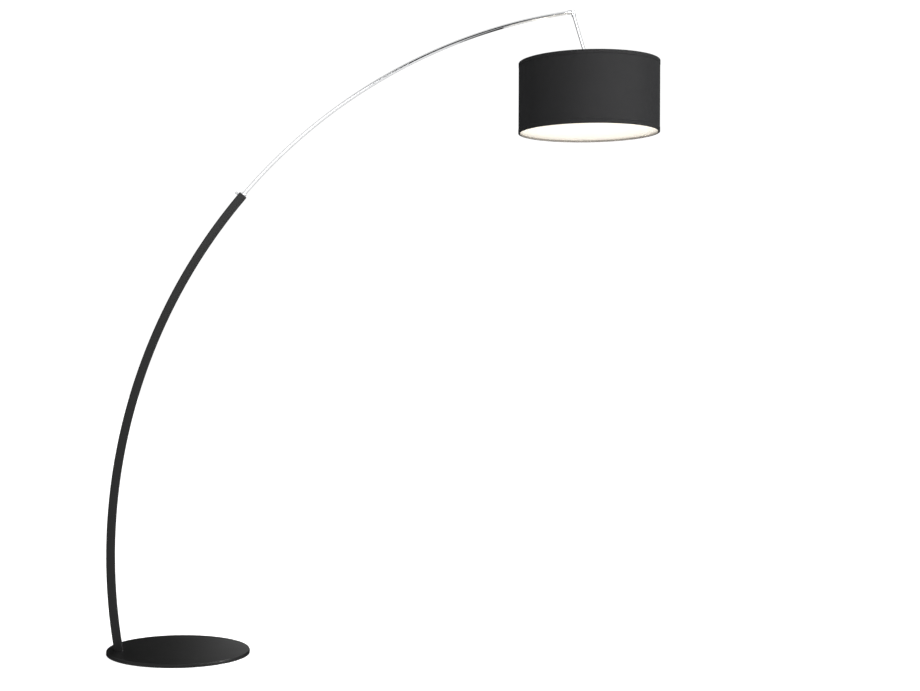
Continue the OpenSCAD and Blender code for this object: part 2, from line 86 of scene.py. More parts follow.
class Wire:  # the output of a node, so that maths on it reads as an expression
    def __init__(self, finish, socket):
        self.finish, self.socket = finish, socket

    def maths(self, operation, first, second=0.0):
        return self.finish.node("ShaderNodeMath", {"operation": operation}, {0: first, 1: second})

    def __add__(self, other):
        return self.maths("ADD", self, other)

    def __radd__(self, other):
        return self.maths("ADD", other, self)

    def __sub__(self, other):
        return self.maths("SUBTRACT", self, other)

    def __rsub__(self, other):
        return self.maths("SUBTRACT", other, self)

    def __mul__(self, other):
        return self.maths("MULTIPLY", self, other)

    def __rmul__(self, other):
        return self.maths("MULTIPLY", other, self)

    def __truediv__(self, other):
        return self.maths("DIVIDE", self, other)

    def __rtruediv__(self, other):
        return self.maths("DIVIDE", other, self)

    def sine(self):
        return self.maths("SINE", self)

    def size(self):
        return self.maths("ABSOLUTE", self)

    def most(self, other):
        return self.maths("MAXIMUM", self, other)

    def above(self, limit):
        return self.maths("GREATER_THAN", self, limit)

    def between(self, low, high):  # runs smoothly from 0 at low to 1 at high
        return self.finish.node("ShaderNodeMapRange", {"interpolation_type": "SMOOTHSTEP"},
                                {"Value": self, "From Min": low, "From Max": high})


class Finish:  # a material or the world, with a method that adds any node
    def __init__(self, owner):
        owner.use_nodes = True
        self.owner, self.tree = owner, owner.node_tree
        self.shader = self.tree.nodes.get("Principled BSDF") or self.tree.nodes.get("Background")

    def node(self, kind, settings=None, inputs=None, out=0):
        made = self.tree.nodes.new(kind)
        for name, value in (settings or {}).items():
            setattr(made, name, value)
        self.feed(made, inputs or {})
        return Wire(self, made.outputs[out])

    def feed(self, made, inputs):
        for name, value in inputs.items():
            if isinstance(value, Wire):
                self.tree.links.new(value.socket, made.inputs[name])
            else:
                made.inputs[name].default_value = value

    def set(self, **inputs):  # Base_Color=..., Roughness=... on the shader itself
        self.feed(self.shader, {name.replace("_", " "): value for name, value in inputs.items()})

    def place(self, kind="Object", scale=(1, 1, 1), centre=(0, 0, 0)):
        where = self.node("ShaderNodeTexCoord", out={"Generated": 0, "UV": 2, "Object": 3}[kind])
        shift = tuple(-c * s for c, s in zip(centre, scale))
        return self.node("ShaderNodeMapping", {},
                         {"Vector": where, "Location": shift, "Scale": scale})

    def axes(self, vector):
        made = self.node("ShaderNodeSeparateXYZ", {}, {0: vector}).socket.node
        return [Wire(self, socket) for socket in made.outputs]

    def noise(self, vector, scale, detail=3.0, rough=0.5):
        return self.node("ShaderNodeTexNoise", {}, {"Vector": vector, "Scale": scale,
                                                    "Detail": detail, "Roughness": rough})

    def mix(self, factor, first, second):
        return self.node("ShaderNodeMix", {"data_type": "RGBA"},
                         {0: factor, 6: first, 7: second}, 2)

    def bump(self, height, strength, distance):
        self.set(Normal=self.node("ShaderNodeBump", {}, {"Height": height, "Strength": strength,
                                                         "Distance": distance}))


def newFinish(name):
    return Finish(bpy.data.materials.new(name))


def grey(level, warmth=0.0):
    return (level * (1 + warmth), level, level * (1 - warmth), 1)


print("frame loaded:", len(frame["nodes"]), "nodes")

# ---- materials ----

powder = {"colour": 0.0044, "roughness": 0.34, "shine": 0.25, "peelScale": 900, "peel": 0.10}


def powderCoat():  # satin black powder coat: fine orange peel, faint handling marks
    finish = newFinish("satinBlack")
    here = finish.place()
    cloud = finish.noise(here, 9, 4)
    peel = finish.noise(here, powder["peelScale"], 2)
    rubbed = finish.noise(finish.place(scale=(60, 60, 14)), 1.0, 5, 0.65).between(0.60, 0.78)
    finish.set(Base_Color=finish.mix(cloud * 0.6 + rubbed * 0.25, grey(powder["colour"]),
                                     grey(powder["colour"] * 1.5, -0.03)),
               Roughness=powder["roughness"] + cloud * 0.07 - rubbed * 0.06,
               Specular_IOR_Level=powder["shine"])
    finish.bump(peel, powder["peel"], 0.0002)
    return finish.owner


def chromePlate():  # bright plate with a breath of haze and fine wiping marks
    finish = newFinish("brightChrome")
    haze = finish.noise(finish.place(), 14, 5, 0.6)
    wiped = finish.noise(finish.place(scale=(40, 900, 40)), 1.0, 2)
    finish.set(Base_Color=finish.mix(haze, (0.80, 0.81, 0.83, 1), (0.88, 0.885, 0.89, 1)),
               Metallic=1.0, Roughness=0.05 + haze.between(0.45, 0.8) * 0.09)
    finish.bump(wiped, 0.02, 0.0002)
    return finish.owner


def turnedSteel():  # plated steel fittings, with turning marks round them
    finish = newFinish("turnedSteel")
    marks = finish.noise(finish.place(scale=(300, 300, 2600)), 1.0, 2)
    cloud = finish.noise(finish.place(), 60, 3)
    finish.set(Base_Color=finish.mix(cloud, (0.50, 0.51, 0.53, 1), (0.62, 0.63, 0.64, 1)),
               Metallic=1.0, Roughness=0.24 + marks * 0.12)
    finish.bump(marks, 0.12, 0.0001)
    return finish.owner


def plainPlastic(name, colour, roughness, grain=1400, depth=0.08):
    finish = newFinish(name)
    here = finish.place()
    cloud = finish.noise(here, 40, 3)
    darker = tuple(c * 0.88 for c in colour[:3]) + (1,)
    finish.set(Base_Color=finish.mix(cloud, darker, colour), Roughness=roughness + cloud * 0.10)
    finish.bump(finish.noise(here, grain, 2), depth, 0.0002)
    return finish.owner


def feltPad():  # pressed wool felt
    finish = newFinish("blackFelt")
    here = finish.place()
    fibres = finish.noise(here, 420, 6, 0.7)
    finish.set(Base_Color=finish.mix(fibres, grey(0.012), grey(0.05)), Roughness=0.96,
               Sheen_Weight=0.35, Sheen_Roughness=0.5)
    finish.bump(fibres, 0.6, 0.0008)
    return finish.owner


weave = {"thread": 0.00078, "dark": 0.004, "light": 0.011, "slub": 0.55, "relief": 0.55}


def shadeCloth():  # plain weave in charcoal yarn, with thick and thin places along each thread, and painted shade where the threads dip
    finish = newFinish("charcoalCloth")
    u, v, _ = finish.axes(finish.place("UV"))
    turns = pi / weave["thread"]
    warp, weft = (u * turns).sine(), (v * turns).sine()
    over = (warp * weft).between(-0.35, 0.35)  # which thread is on top
    upThread = (u * turns).maths("COSINE", u * turns).size()
    acrossThread = (v * turns).maths("COSINE", v * turns).size()
    height = over * (1 - upThread) + (1 - over) * (1 - acrossThread)
    slubAcross = finish.noise(finish.place("UV", (40, 900, 1)), 1.0, 4, 0.6)
    slubUp = finish.noise(finish.place("UV", (900, 40, 1)), 1.0, 4, 0.6)
    slubs = (slubAcross * (1 - over) + slubUp * over) * weave["slub"]
    cloud = finish.noise(finish.place("UV", (7, 7, 1)), 1.0, 3)
    # the colour is darker where each thread dips at its edges: painted shade in the gaps of the weave; slubs and
    # cloud are the yarn's own tone
    finish.set(Base_Color=finish.mix(height * 0.55 + slubs + cloud * 0.15 - 0.2,
                                     (weave["dark"], weave["dark"], weave["dark"] * 1.06, 1),
                                     (weave["light"], weave["light"], weave["light"] * 1.08, 1)),
               Roughness=0.60 + height * 0.12,
               Specular_IOR_Level=0.21,
               Sheen_Weight=0.02, Sheen_Roughness=0.5, Sheen_Tint=(0.75, 0.78, 0.85, 1))
    finish.bump(height + slubs * 0.6, weave["relief"], 0.00035)
    return finish.owner


# glow, centre and edge set the lining's painted glow, an emission that stands in for the bulb's light; edge also
# colours the bulb's real point lamp
lit = {"glow": 0.22, "centre": (1.0, 0.965, 0.90), "edge": (1.0, 0.90, 0.76),
       "bulbGlow": 6.0, "rimPower": 40.0, "soft": 0.028, "rise": 0.03}


def shadeLining():  # white styrene lining; its emission is a painted glow that stands in for the bulb's light on it, strongest at the bulb's height and warmer above and below
    finish = newFinish("paintedGlowLining")
    bulbLow, bulbHigh = heights("bulb_glass")
    centre = tuple(shadePivot + Vector((0, 0, (bulbLow + bulbHigh) / 2)))
    _, _, z = finish.axes(finish.place(centre=centre))
    # painted glow: the lining's emission is strongest level with the bulb and fades above and below it
    paintedGlowFall = 1 / (1 + (z * z) * 40)
    grain = finish.noise(finish.place(), 700, 2)
    cloud = finish.noise(finish.place(), 12, 3)
    finish.set(Base_Color=finish.mix(cloud, (0.86, 0.83, 0.77, 1), (0.93, 0.91, 0.86, 1)),
               Roughness=0.55,
               Emission_Color=finish.mix(paintedGlowFall, lit["edge"] + (1,), lit["centre"] + (1,)),
               Emission_Strength=lit["glow"])
    finish.bump(grain, 0.06, 0.0002)
    return finish.owner


def opalGlass():  # the lit bulb, brighter at its middle
    finish = newFinish("opalGlass")
    low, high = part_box("bulb_glass")
    _, _, z = finish.axes(finish.place(centre=tuple((low + high) / 2)))
    neck = z.between(0.0, 0.045)
    finish.set(Base_Color=finish.mix(neck, (0.98, 0.96, 0.90, 1), (0.90, 0.84, 0.74, 1)),
               Roughness=0.28, Coat_Weight=0.4,
               Emission_Color=finish.mix(neck, (1.0, 0.93, 0.80, 1), (0.75, 0.55, 0.36, 1)),
               Emission_Strength=lit["bulbGlow"])
    return finish.owner


def bulbShell():  # rolled aluminium cap with dull and bright rings
    finish = newFinish("capAluminium")
    here = finish.place(scale=(90, 90, 1500))
    marks = finish.noise(here, 1.0, 3)
    finish.set(Base_Color=finish.mix(marks, (0.60, 0.60, 0.61, 1), (0.80, 0.80, 0.81, 1)),
               Metallic=1.0, Roughness=0.26 + marks * 0.2)
    finish.bump(marks, 0.1, 0.0001)
    return finish.owner


def brassSheet():
    finish = newFinish("contactBrass")
    cloud = finish.noise(finish.place(), 120, 4)
    finish.set(Base_Color=finish.mix(cloud, (0.60, 0.42, 0.17, 1), (0.78, 0.60, 0.30, 1)),
               Metallic=1.0, Roughness=0.25 + cloud * 0.15)
    return finish.owner


def moulded(name, colour):  # bakelite and glazed ceramic: glossy, with a thin clear skin
    finish = newFinish(name)
    cloud = finish.noise(finish.place(), 55, 4)
    darker = tuple(c * 0.93 for c in colour[:3]) + (1,)
    finish.set(Base_Color=finish.mix(cloud, darker, colour), Roughness=0.28 + cloud * 0.1,
               Coat_Weight=0.3, Coat_Roughness=0.12)
    finish.bump(finish.noise(finish.place(), 900, 2), 0.03, 0.0002)
    return finish.owner


satinBlack = powderCoat()
chrome = chromePlate()
steel = turnedSteel()
felt = feltPad()
cloth = shadeCloth()
lining = shadeLining()
opal = opalGlass()
capMetal = bulbShell()
brass = brassSheet()
bakelite = moulded("ivoryBakelite", (0.80, 0.78, 0.72, 1))
porcelain = moulded("whiteCeramic", (0.86, 0.85, 0.81, 1))
blackCeramic = moulded("blackGlass", (0.02, 0.02, 0.02, 1))
blackNylon = plainPlastic("blackNylon", (0.022, 0.022, 0.023, 1), 0.42)
whiteNylon = plainPlastic("whiteNylon", (0.80, 0.79, 0.75, 1), 0.45)
rubber = plainPlastic("blackRubber", (0.016, 0.016, 0.016, 1), 0.62, 700, 0.2)
sheath = plainPlastic("leadSheath", (0.66, 0.64, 0.59, 1), 0.5)
whitePaint = plainPlastic("whiteWirePaint", (0.84, 0.83, 0.79, 1), 0.36, 800, 0.12)

nodeFinish = {
    "base_plate": satinBlack, "lower_arm": satinBlack, "base_felt": felt,
    "foot_plug": steel, "foot_bolt": steel, "foot_pin": steel, "cord_grommet": rubber,
    "lower_lead": sheath, "upper_lead": sheath, "drop_lead": sheath,
    "mouth_bush": blackNylon, "guide_collar": chrome, "clamp_pad": brass, "thumbscrew": steel,
    "upper_arm": chrome, "drop_rod": chrome, "tail_guide": whiteNylon,
    "tip_fork": steel, "drop_eye": steel, "drop_fork": steel, "shade_eye": steel,
    "tip_washers": blackNylon, "shade_washers": blackNylon,
    "tip_screw": steel, "tip_nut": steel, "shade_screw": steel, "shade_nut": steel,
    "nipple_nut": steel, "holder_cap": bakelite, "holder_body": bakelite, "ring_nuts": bakelite,
    "holder_core": porcelain, "screw_shell": brass, "centre_contact": brass,
    "top_frame": whitePaint, "bottom_ring": whitePaint, "shade_liner": lining,
    "shade_fabric": cloth, "top_hem": cloth, "bottom_hem": cloth,
    "bulb_cap": capMetal, "bulb_tip": blackCeramic, "bulb_glass": opal,
}
for name, node in frame["nodes"].items():
    node.data.materials.clear()
    node.data.materials.append(nodeFinish[name])
print("materials made:", len(bpy.data.materials))

# ---- making pieces ----

bodyOf = {node: body for body, nodes in frame["record"]["behaviour"]["bodies"].items()
          for node in nodes}


def addPiece(name, shape, material, node, place=None, stands=True, sharp=38, turned=True):
    # turns a bmesh into a finished object that rides with the body of a CAD node
    if place is not None:
        bmesh.ops.transform(shape, matrix=place, verts=shape.verts)
    bmesh.ops.remove_doubles(shape, verts=shape.verts, dist=1e-6)
    if turned:
        bmesh.ops.recalc_face_normals(shape, faces=shape.faces)
    mesh = bpy.data.meshes.new(name)
    shape.to_mesh(mesh)
    shape.free()
    mesh.shade_smooth()
    mesh.set_sharp_from_angle(angle=radians(sharp))
    mesh.materials.append(material)
    piece = bpy.data.objects.new(name, mesh)
    bpy.context.scene.collection.objects.link(piece)
    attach(piece, bodyOf[node])
    if stands:
        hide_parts(node)
    return piece


def wireLine(shape, points):
    spots = [shape.verts.new(point) for point in points]
    return spots, [shape.edges.new(pair) for pair in zip(spots, spots[1:])]


def turnedShape(points, steps=96, closed=False):
    # spins a half outline of (radius, height) points round Z
    shape = bmesh.new()
    spots, lines = wireLine(shape, [(radius, 0, height) for radius, height in points])
    if closed:
        lines.append(shape.edges.new((spots[-1], spots[0])))
    bmesh.ops.spin(shape, geom=spots + lines, axis=(0, 0, 1), cent=(0, 0, 0), dvec=(0, 0, 0),
                   angle=2 * pi, steps=steps, use_merge=True, use_duplicate=False)
    bmesh.ops.remove_doubles(shape, verts=shape.verts, dist=1e-7)
    bmesh.ops.dissolve_degenerate(shape, dist=1e-7, edges=shape.edges)
    bmesh.ops.recalc_face_normals(shape, faces=shape.faces)
    return shape


def softenEdges(shape, width, rounds=3, angle=40):
    # rounds every edge that turns by more than an angle
    edges = [edge for edge in shape.edges
             if len(edge.link_faces) == 2 and edge.calc_face_angle() > radians(angle)]
    bmesh.ops.bevel(shape, geom=edges, offset=width, offset_type="OFFSET", segments=rounds,
                    profile=0.5, affect="EDGES", material=-1, clamp_overlap=True)
    return shape


def ringOutline(shape, radius, count):
    made = bmesh.ops.create_circle(shape, cap_ends=False, radius=radius, segments=count)
    return made["verts"]


def squareOutline(shape, width, corner, rounds):
    # a square ring with round corners, in the XY plane
    made = bmesh.ops.create_grid(shape, x_segments=1, y_segments=1, size=width / 2)
    bmesh.ops.bevel(shape, geom=made["verts"], offset=corner, offset_type="OFFSET",
                    segments=rounds, profile=0.5, affect="VERTICES", material=-1)
    faces = [face for face in shape.faces if face.is_valid]
    bmesh.ops.delete(shape, geom=faces, context="FACES_ONLY")
    return list(shape.verts)


def sweptTube(outer, inner, start, end, steps, cutPlane=None):
    # carries two outlines along the arc from one angle to another, and joins them at the ends
    whole = bmesh.new()
    for outline in (outer, inner):
        shape = bmesh.new()
        outline(shape)
        bmesh.ops.transform(shape, matrix=arcPlace(start), verts=shape.verts)
        bmesh.ops.spin(shape, geom=shape.verts[:] + shape.edges[:], cent=arcCentre, axis=(0, 1, 0),
                       dvec=(0, 0, 0), angle=end - start, steps=steps, use_duplicate=False)
        if cutPlane is not None:
            bmesh.ops.bisect_plane(shape, geom=shape.verts[:] + shape.edges[:] + shape.faces[:],
                                   dist=1e-7, plane_co=cutPlane, plane_no=(0, 0, 1),
                                   clear_inner=True)
        mesh = bpy.data.meshes.new("part")
        shape.to_mesh(mesh)
        shape.free()
        whole.from_mesh(mesh)
        bpy.data.meshes.remove(mesh)
    whole.verts.ensure_lookup_table()
    rims = [edge for edge in whole.edges if edge.is_boundary]
    low = [edge for edge in rims if edge.verts[0].co.z < (arcPlace(start).translation.z
                                                         + arcPlace(end).translation.z) / 2]
    high = [edge for edge in rims if edge not in set(low)]
    for pair in (low, high):
        bmesh.ops.bridge_loops(whole, edges=pair)
    bmesh.ops.recalc_face_normals(whole, faces=whole.faces)
    return whole


# ---- base ----

base = {"topEdge": 0.003, "footEdge": 0.0005, "around": 224, "feltEdge": 0.0004}


def makeBase():
    low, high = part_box("base_plate")
    radius = size("base_plate").y / 2
    shape = turnedShape([(0, low.z), (radius, low.z), (radius, high.z), (0, high.z)],
                        base["around"])
    rims = [edge for edge in shape.edges
            if len(edge.link_faces) == 2 and edge.calc_face_angle() > radians(40)]
    for level, width, rounds in ((high.z, base["topEdge"], 6), (low.z, base["footEdge"], 2)):
        edges = [edge for edge in rims if edge.is_valid and abs(edge.verts[0].co.z - level) < 1e-5]
        bmesh.ops.bevel(shape, geom=edges, offset=width, offset_type="OFFSET", segments=rounds,
                        profile=0.5, affect="EDGES", material=-1)
    addPiece("basePlate", shape, satinBlack, "base_plate")
    low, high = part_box("base_felt")
    radius = size("base_felt").y / 2
    edge = base["feltEdge"]
    shape = turnedShape([(0, low.z), (radius - edge, low.z), (radius, low.z + edge),
                         (radius - edge / 2, high.z), (0, high.z)], base["around"])
    addPiece("baseFelt", shape, felt, "base_felt")


makeBase()
print("base made")

# ---- arms ----

arm = {"wall": 0.0015, "corner": 0.002, "cornerRounds": 4, "steps": 112}
rod = {"wall": 0.0012, "around": 40, "steps": 128}
armWidth = size("lower_arm").y
rodRadius = size("upper_arm").y / 2
mouthAngle = asin((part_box("lower_arm")[1].z - arcCentre.z) / (arcRadius + armWidth / 2))
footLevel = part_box("base_plate")[1].z
footAngle = asin((footLevel - arcCentre.z) / arcRadius)
tailAngle = acos((arcCentre.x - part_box("upper_arm")[0].x) / (arcRadius + rodRadius))
shoulderAngle = asin((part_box("upper_arm")[1].z - arcCentre.z) / (arcRadius + rodRadius))


def makeArms():
    bore = armWidth - 2 * arm["wall"]
    shape = sweptTube(
        lambda s: squareOutline(s, armWidth, arm["corner"], arm["cornerRounds"]),
        lambda s: squareOutline(s, bore, arm["corner"] - arm["wall"], arm["cornerRounds"]),
        footAngle - armWidth / arcRadius, mouthAngle, arm["steps"], Vector((0, 0, footLevel)))
    addPiece("lowerArm", shape, satinBlack, "lower_arm", sharp=30)
    shape = sweptTube(lambda s: ringOutline(s, rodRadius, rod["around"]),
                      lambda s: ringOutline(s, rodRadius - rod["wall"], rod["around"]),
                      tailAngle, shoulderAngle, rod["steps"])
    addPiece("upperArm", shape, chrome, "upper_arm", sharp=60)


makeArms()
print("arms made")

# ---- fittings on the arms ----

collar = {"seat": 0.0025, "top": 0.0085, "radius": 0.0085, "gap": 0.00015, "chamfer": 0.0003,
          "edge": 0.0008, "groove": 0.0005, "step": 0.0016, "lead": 0.0006, "around": 64}
dropTube = {"eye": 0.0145, "fork": 0.017, "wall": 0.001, "around": 48}  # ends from the two pivots


def makeCollar():
    bottom, top, outer = collar["seat"], collar["top"], collar["radius"]
    inner = rodRadius + collar["gap"]
    edge, chamfer, groove, step = (collar[key] for key in ("edge", "chamfer", "groove", "step"))
    shape = turnedShape([(inner, bottom), (outer - chamfer, bottom), (outer, bottom + chamfer),
                         (outer, bottom + step - chamfer), (outer - groove, bottom + step),
                         (outer - groove, bottom + step * 1.25),
                         (outer, bottom + step * 1.25 + chamfer),
                         (outer, top - edge), (outer - edge * 0.3, top - edge * 0.3),
                         (outer - edge, top), (inner + collar["lead"], top),
                         (inner, top - collar["lead"])], collar["around"], closed=True)
    addPiece("guideCollar", shape, chrome, "guide_collar", arcPlace(mouthAngle))


def makeDropRod():
    length = drop.length - dropTube["eye"] - dropTube["fork"]
    radius = size("drop_rod").y / 2
    bore = radius - dropTube["wall"]
    shape = turnedShape([(radius, 0), (radius, length), (bore, length), (bore, 0)],
                        dropTube["around"], closed=True)
    addPiece("dropRod", shape, chrome, "drop_rod", dropPlace(dropTube["eye"]))


makeCollar()
makeDropRod()
print("fittings made")

# ---- shade ----

shade = {"around": 192, "rows": 24, "cloth": 0.0008, "glue": 0.0002, "lining": 0.0008,
         "seam": 0.011, "liningRows": 6, "seamGap": 0.0125, "seamAt": radians(97), "seamRows": 12,
         "seamSteps": 5, "seamLift": 0.6}
hem = {"outerLeg": 0.012, "innerLeg": 0.005, "out": 0.00035, "across": 0.0052, "bend": 0.0009,
       "over": 0.00025, "thick": 0.0005, "dip": 0.2, "crest": 0.4}
shadeRadius = size("shade_fabric").x / 2
shadeLow, shadeHigh = heights("shade_fabric")


def clothTube(radius, low, high, around, rows):
    # an open tube of cloth with a UV map in metres: along the cloth, and up it
    shape = bmesh.new()
    points = [(radius, 0, low + (high - low) * row / rows) for row in range(rows + 1)]
    spots, lines = wireLine(shape, points)
    bmesh.ops.spin(shape, geom=spots + lines, axis=(0, 0, 1), cent=(0, 0, 0), dvec=(0, 0, 0),
                   angle=2 * pi, steps=around, use_merge=True, use_duplicate=False)
    return shape


def clothMap(shape, radius):
    uv = shape.loops.layers.uv.new("cloth")
    for face in shape.faces:
        middle = face.calc_center_median()
        facing = atan2(middle.y, middle.x)
        for loop in face.loops:
            spot = loop.vert.co
            turn = (atan2(spot.y, spot.x) - facing + pi) % (2 * pi) - pi + facing
            reach = hypot(spot.x, spot.y)
            loop[uv].uv = (turn * radius, spot.z + (radius - reach))


def outwards(shape):  # turns an open tube's faces away from its axis
    for face in shape.faces:
        middle = face.calc_center_median()
        if face.normal.dot(Vector((middle.x, middle.y, 0))) < 0:
            face.normal_flip()


def solidSheet(piece, thickness, offset=-1.0):
    wall = piece.modifiers.new("thickness", "SOLIDIFY")
    wall.thickness, wall.offset, wall.use_rim = thickness, offset, True
    return piece


def hemLine(level, up):
    # centre line of a strip folded over the edge: outer leg, bend over the rim, inner leg
    outer, inner, bend = shadeRadius + hem["out"], shadeRadius - hem["across"], hem["bend"]
    points = [(outer, level - up * hem["outerLeg"] * (1 - k / 4)) for k in range(4)]
    for k in range(5):
        angle = pi / 2 * k / 4
        points.append((outer - bend + bend * cos(angle),
                       level - up * bend * (hem["dip"] - sin(angle) * hem["crest"])))
    for k in range(1, 5):
        points.append((outer - bend - (outer - bend - inner) * k / 4, level + up * hem["over"]))
    points.append((inner, level - up * hem["innerLeg"]))
    return points


def makeShade():
    shape = clothTube(shadeRadius, shadeLow, shadeHigh, shade["around"], shade["rows"])
    outwards(shape)
    clothMap(shape, shadeRadius)
    skin = addPiece("shadeCloth", shape, cloth, "shade_fabric", shadePlace(), turned=False)
    solidSheet(skin, shade["cloth"])
    shape = clothTube(shadeRadius - shade["cloth"] - shade["glue"], shadeLow, shadeHigh,
                      shade["around"], shade["liningRows"])
    outwards(shape)
    lined = addPiece("shadeLining", shape, lining, "shade_liner", shadePlace(), turned=False)
    solidSheet(lined, shade["lining"])
    for name, node, level, up in (("topHem", "top_hem", shadeHigh, 1),
                                  ("bottomHem", "bottom_hem", shadeLow, -1)):
        shape = bmesh.new()
        spots, lines = wireLine(shape, [(r, 0, z) for r, z in hemLine(level, up)])
        bmesh.ops.spin(shape, geom=spots + lines, axis=(0, 0, 1), cent=(0, 0, 0), dvec=(0, 0, 0),
                       angle=2 * pi, steps=shade["around"], use_merge=True, use_duplicate=False)
        bmesh.ops.recalc_face_normals(shape, faces=shape.faces)
        clothMap(shape, shadeRadius)
        strip = addPiece(name, shape, cloth, node, shadePlace(), turned=False, sharp=60)
        solidSheet(strip, hem["thick"], 0.0)
    shape = bmesh.new()
    start, end = shadeLow + shade["seamGap"], shadeHigh - shade["seamGap"]
    rows = shade["seamRows"]
    spots, lines = wireLine(shape, [(shadeRadius + hem["out"], 0, start + (end - start) * k / rows)
                                    for k in range(rows + 1)])
    width = shade["seam"] / shadeRadius
    bmesh.ops.spin(shape, geom=spots + lines, axis=(0, 0, 1), cent=(0, 0, 0), dvec=(0, 0, 0),
                   angle=width, steps=shade["seamSteps"], use_duplicate=False)
    bmesh.ops.rotate(shape, verts=shape.verts, cent=(0, 0, 0),
                     matrix=Matrix.Rotation(shade["seamAt"], 3, "Z"))
    outwards(shape)
    clothMap(shape, shadeRadius)
    seam = addPiece("shadeSeam", shape, cloth, "shade_fabric", shadePlace(), stands=False,
                    turned=False)
    solidSheet(seam, hem["thick"], shade["seamLift"])


makeShade()
print("shade made")

# ---- wires inside the shade ----

wires = {"wire": 0.0015, "spoke": 0.00175, "around": 16, "spokeAround": 20, "count": 3,
         "ringSteps": 160}
hub = {"outer": 0.032, "inner": 0.0202, "thick": 0.002, "edge": 0.0004, "weld": 0.003,
       "around": 64}


def wireRing(shape, radius, height):
    one = bmesh.new()
    made = bmesh.ops.create_circle(one, cap_ends=False, radius=wires["wire"],
                                   segments=wires["around"])
    bmesh.ops.transform(one, matrix=Matrix.Translation((radius, 0, height))
                        @ Matrix.Rotation(pi / 2, 4, "X"), verts=made["verts"])
    bmesh.ops.spin(one, geom=one.verts[:] + one.edges[:], axis=(0, 0, 1), cent=(0, 0, 0),
                   dvec=(0, 0, 0), angle=2 * pi, steps=wires["ringSteps"], use_merge=True,
                   use_duplicate=False)
    mergeInto(shape, one)


def mergeInto(shape, one):
    bmesh.ops.recalc_face_normals(one, faces=one.faces)
    mesh = bpy.data.meshes.new("part")
    one.to_mesh(mesh)
    one.free()
    shape.from_mesh(mesh)
    bpy.data.meshes.remove(mesh)


def makeWires():
    ringRadius = size("bottom_ring").x / 2 - wires["wire"]
    topLevel = heights("top_frame")[1] - wires["wire"]
    hubLevel = heights("top_frame")[0]
    shape = bmesh.new()
    wireRing(shape, ringRadius, topLevel)
    disc = turnedShape([(hub["inner"], hubLevel), (hub["outer"], hubLevel),
                        (hub["outer"], hubLevel + hub["thick"]),
                        (hub["inner"], hubLevel + hub["thick"])], hub["around"], closed=True)
    mergeInto(shape, softenEdges(disc, hub["edge"], 2))
    for k in range(wires["count"]):
        start = Vector((hub["outer"] - hub["weld"], 0, hubLevel + hub["thick"] / 2))
        end = Vector((ringRadius, 0, topLevel))
        run = end - start
        one = bmesh.new()
        bmesh.ops.create_cone(one, cap_ends=True, segments=wires["spokeAround"], radius1=wires["spoke"],
                              radius2=wires["spoke"], depth=run.length)
        tilt = run.to_track_quat("Z", "Y").to_matrix().to_4x4()
        turn = Matrix.Rotation(pi / 2 + 2 * pi * k / wires["count"], 4, "Z")
        bmesh.ops.transform(one, matrix=turn @ Matrix.Translation((start + end) / 2) @ tilt,
                            verts=one.verts)
        mergeInto(shape, one)
    addPiece("topWires", shape, whitePaint, "top_frame", shadePlace(), turned=False)
    shape = bmesh.new()
    wireRing(shape, ringRadius, heights("bottom_ring")[0] + wires["wire"])
    addPiece("bottomWire", shape, whitePaint, "bottom_ring", shadePlace(), turned=False)


makeWires()
print("wires made")

# ---- lampholder ----

holder = {"hole": 0.0052, "capWall": 0.0016, "bead": 0.0003, "skirt": 0.004, "bodyWall": 0.002,
          "pitch": 0.0026, "deep": 0.0006, "lip": 0.0004, "chamfer": 0.0005, "plainTop": 0.006,
          "plainFoot": 0.003, "crownSteps": 8, "around": 72}
ringNut = {"thick": 0.006, "lip": 0.003, "gap": 0.00005, "edge": 0.0006}


def makeHolder():
    bottom, top = heights("holder_cap")
    radius = size("holder_cap").x / 2
    wall, hole, bead = holder["capWall"], holder["hole"], holder["bead"]
    skirt, chamfer = holder["skirt"], holder["chamfer"]
    crown = [(hole, top)]
    for k in range(holder["crownSteps"] + 1):
        angle = pi / 2 * (1 - k / holder["crownSteps"])
        crown.append((radius / 2 * (1 + cos(angle)), top - radius / 2 * (1 - sin(angle))))
    crown += [(radius, bottom + skirt), (radius + bead, bottom + skirt - chamfer),
              (radius + bead, bottom + chamfer), (radius, bottom), (radius - wall, bottom),
              (radius - wall, top - radius / 2), (radius / 2, top - wall), (hole, top - wall)]
    addPiece("holderCap", turnedShape(crown, holder["around"], closed=True), bakelite,
             "holder_cap", shadePlace())
    bottom, top = heights("holder_body")
    radius = size("holder_body").x / 2
    wall, pitch, deep = holder["bodyWall"], holder["pitch"], holder["deep"]
    lip = holder["lip"]
    outline = [(radius - wall, top), (radius - lip, top), (radius, top - lip)]
    level = top - holder["plainTop"]
    while level - pitch > bottom + holder["plainFoot"]:  # rolled thread that takes the ring nuts
        outline += [(radius, level), (radius - deep, level - pitch * 0.35),
                    (radius - deep, level - pitch * 0.6), (radius, level - pitch * 0.95)]
        level -= pitch
    outline += [(radius, bottom + chamfer), (radius - chamfer, bottom), (radius - wall, bottom)]
    addPiece("holderBody", turnedShape(outline, holder["around"], closed=True), bakelite,
             "holder_body", shadePlace())


def makeRingNuts():
    low, high = heights("ring_nuts")
    outer = size("ring_nuts").x / 2
    inner = size("holder_body").x / 2 + ringNut["gap"]
    waist = outer - ringNut["lip"]
    shape = bmesh.new()
    for start, way in ((low, 1), (high, -1)):
        middle, end = start + way * ringNut["thick"] / 2, start + way * ringNut["thick"]
        one = turnedShape([(inner, start), (waist, start), (waist, middle), (outer, middle),
                           (outer, end), (inner, end)], holder["around"], closed=True)
        mergeInto(shape, softenEdges(one, ringNut["edge"], 3))
    addPiece("ringNuts", shape, bakelite, "ring_nuts", shadePlace(), turned=False)


makeHolder()
makeRingNuts()
print("lampholder made")

# ---- bulb ----

